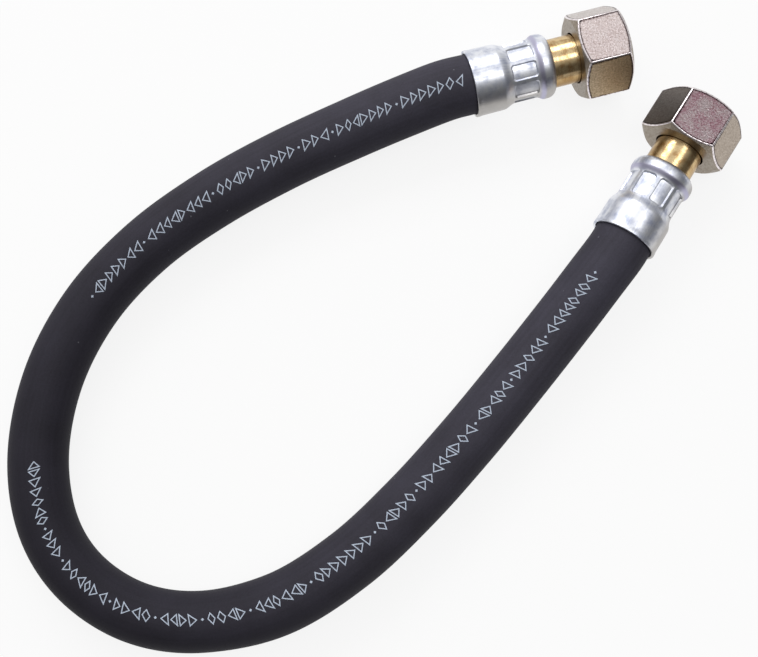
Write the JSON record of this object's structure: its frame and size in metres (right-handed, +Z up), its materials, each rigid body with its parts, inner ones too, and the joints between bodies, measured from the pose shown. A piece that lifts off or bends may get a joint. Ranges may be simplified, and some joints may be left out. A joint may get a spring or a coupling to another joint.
{
  "type": "flexible gas hose",
  "caption": "Flexible rubber gas hose lying in an open loop, with a crimped sleeve, a brass neck and a free-turning hexagon union nut on each end.",
  "frame": {"origin": "on the surface that the hose lies on, below the middle of the whole object's bounding box", "axes": "+X across the loop, from its round end towards the two fittings; +Y along the surface, towards fitting a; +Z up"},
  "size_m": [0.27, 0.24, 0.03],
  "materials": {
    "rubber": "matte black rubber",
    "zinc": "bright zinc-plated steel",
    "brass": "turned brass",
    "fibre": "matte pressed fibre",
    "nickel": "satin nickel-plated brass"
  },
  "bodies": {
    "hose": {"rubber_hose": "rubber", "crimp_ferrule_a": "zinc", "stem_a": "brass", "gasket_a": "fibre", "crimp_ferrule_b": "zinc", "stem_b": "brass", "gasket_b": "fibre"},
    "nut_a": {"union_nut_a": "nickel"},
    "nut_b": {"union_nut_b": "nickel"}
  },
  "joints": [
    {"name": "nut_a_spin", "type": "hinge", "parent": "hose", "child": "nut_a", "pos_m": [0.08176, 0.10131, 0.015], "axis": [0.9673, 0.2538, 0], "continuous": true},
    {"name": "nut_b_spin", "type": "hinge", "parent": "hose", "child": "nut_b", "pos_m": [0.11624, 0.07061, 0.015], "axis": [0.5417, 0.8406, 0], "continuous": true}
  ]
}
